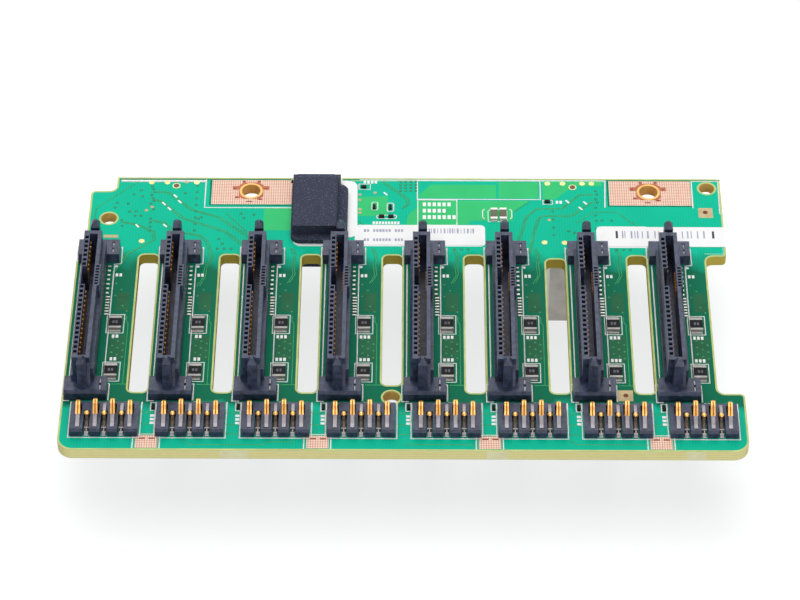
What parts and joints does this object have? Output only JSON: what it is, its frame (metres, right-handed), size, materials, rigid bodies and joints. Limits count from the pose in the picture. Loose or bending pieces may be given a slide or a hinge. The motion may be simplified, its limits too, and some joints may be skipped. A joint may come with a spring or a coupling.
{
  "type": "drive backplane board",
  "caption": "Rectangular circuit board that carries a row of drive receptacles with spring connectors in front, airflow slots between the bays and a grip on one edge.",
  "frame": {"origin": "midway between the two screw holes, on the component face of the board", "axes": "+X along the row of bays, +Y towards the screwed edge, +Z out of the component face, the way a drive is pulled off its receptacle"},
  "size_m": [0.1305, 0.0762, 0.0271],
  "materials": {
    "laminate": "teal green solder mask over glass laminate, satin",
    "receptacle_plastic": "moulded black-grey, fine satin",
    "contact_gold": "thin gold plating",
    "lock_tin": "tinned, dull",
    "spring_alloy": "gold flash over copper alloy",
    "chip_ceramic": "black glaze",
    "chip_tin": "tinned, satin",
    "chip_plastic": "moulded black",
    "grip_plastic": "moulded black, fine spark-eroded grain",
    "label_paper": "matt white",
    "cage_steel": "tinned sheet",
    "natural_nylon": "unfilled nylon, satin"
  },
  "bodies": {
    "root": {"circuit_board": "laminate", "board_locks": "lock_tin", "bay_resistor_bodies": "chip_ceramic", "bay_resistor_caps": "chip_tin", "small_chip_parts": "chip_ceramic", "large_chip_pair": "chip_plastic", "edge_grip": "grip_plastic", "left_label": "label_paper", "right_label": "label_paper", "signal_connector_cage": "cage_steel", "signal_port_insert_lower": "receptacle_plastic", "signal_port_insert_upper": "receptacle_plastic", "power_connector_housing": "natural_nylon", "power_connector_pins": "chip_tin", "bay_controller_chip": "chip_plastic", "drive_connector_housing_1": "receptacle_plastic", "drive_connector_contacts_1": "contact_gold", "tray_connector_housing_1": "receptacle_plastic", "tray_connector_springs_1": "spring_alloy", "drive_connector_housing_2": "receptacle_plastic", "drive_connector_contacts_2": "contact_gold", "tray_connector_housing_2": "receptacle_plastic", "tray_connector_springs_2": "spring_alloy", "drive_connector_housing_3": "receptacle_plastic", "drive_connector_contacts_3": "contact_gold", "tray_connector_housing_3": "receptacle_plastic", "tray_connector_springs_3": "spring_alloy", "drive_connector_housing_4": "receptacle_plastic", "drive_connector_contacts_4": "contact_gold", "tray_connector_housing_4": "receptacle_plastic", "tray_connector_springs_4": "spring_alloy", "drive_connector_housing_5": "receptacle_plastic", "drive_connector_contacts_5": "contact_gold", "tray_connector_housing_5": "receptacle_plastic", "tray_connector_springs_5": "spring_alloy", "drive_connector_housing_6": "receptacle_plastic", "drive_connector_contacts_6": "contact_gold", "tray_connector_housing_6": "receptacle_plastic", "tray_connector_springs_6": "spring_alloy", "drive_connector_housing_7": "receptacle_plastic", "drive_connector_contacts_7": "contact_gold", "tray_connector_housing_7": "receptacle_plastic", "tray_connector_springs_7": "spring_alloy", "drive_connector_housing_8": "receptacle_plastic", "drive_connector_contacts_8": "contact_gold", "tray_connector_housing_8": "receptacle_plastic", "tray_connector_springs_8": "spring_alloy"}
  },
  "joints": []
}
